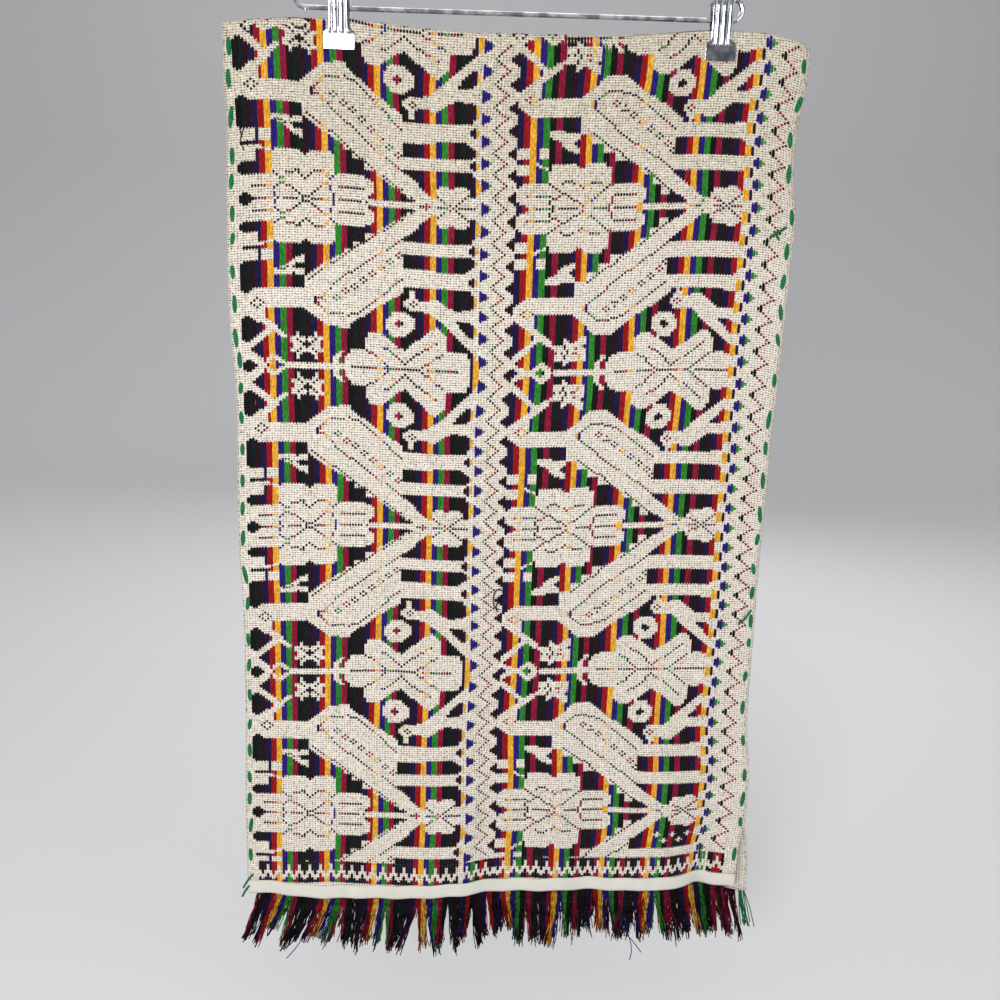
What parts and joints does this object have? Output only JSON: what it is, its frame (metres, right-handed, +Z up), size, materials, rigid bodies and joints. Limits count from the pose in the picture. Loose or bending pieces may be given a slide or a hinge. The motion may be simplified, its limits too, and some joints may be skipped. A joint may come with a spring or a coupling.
{
  "type": "table runner folded over a two-clip wire hanger",
  "caption": "Loom-woven cotton table runner with fringed ends and striped brocade panels, folded in half and held by the spring clips of a chrome wire hanger.",
  "frame": {"origin": "where the inside of the hanger's hook bears on the rail that holds it", "axes": "+Z up, +X along the hanger's bar to the right as seen from the runner's front, -Y towards the viewer of the front"},
  "size_m": [0.4827, 0.0363, 0.9827],
  "materials": {
    "cream_cotton": "matte plain weave with patterned floats",
    "white_tape": "matte woven tape",
    "warp_yarn": "slightly lustrous twisted yarn",
    "chrome": "bright plated steel"
  },
  "bodies": {
    "root": {"runner_cloth": "cream_cotton", "hem_band_front": "white_tape", "hem_band_back": "white_tape", "fringe_front": "warp_yarn", "fringe_back": "warp_yarn", "hanger_hook": "chrome", "hanger_collar": "chrome", "hanger_bar": "chrome", "hanger_bend_left": "chrome", "hanger_bend_right": "chrome", "hanger_arm_left": "chrome", "hanger_arm_right": "chrome", "clip_left_sleeve": "chrome", "clip_left_front_plate": "chrome", "clip_left_back_plate": "chrome", "clip_right_sleeve": "chrome", "clip_right_front_plate": "chrome", "clip_right_back_plate": "chrome"}
  },
  "joints": []
}
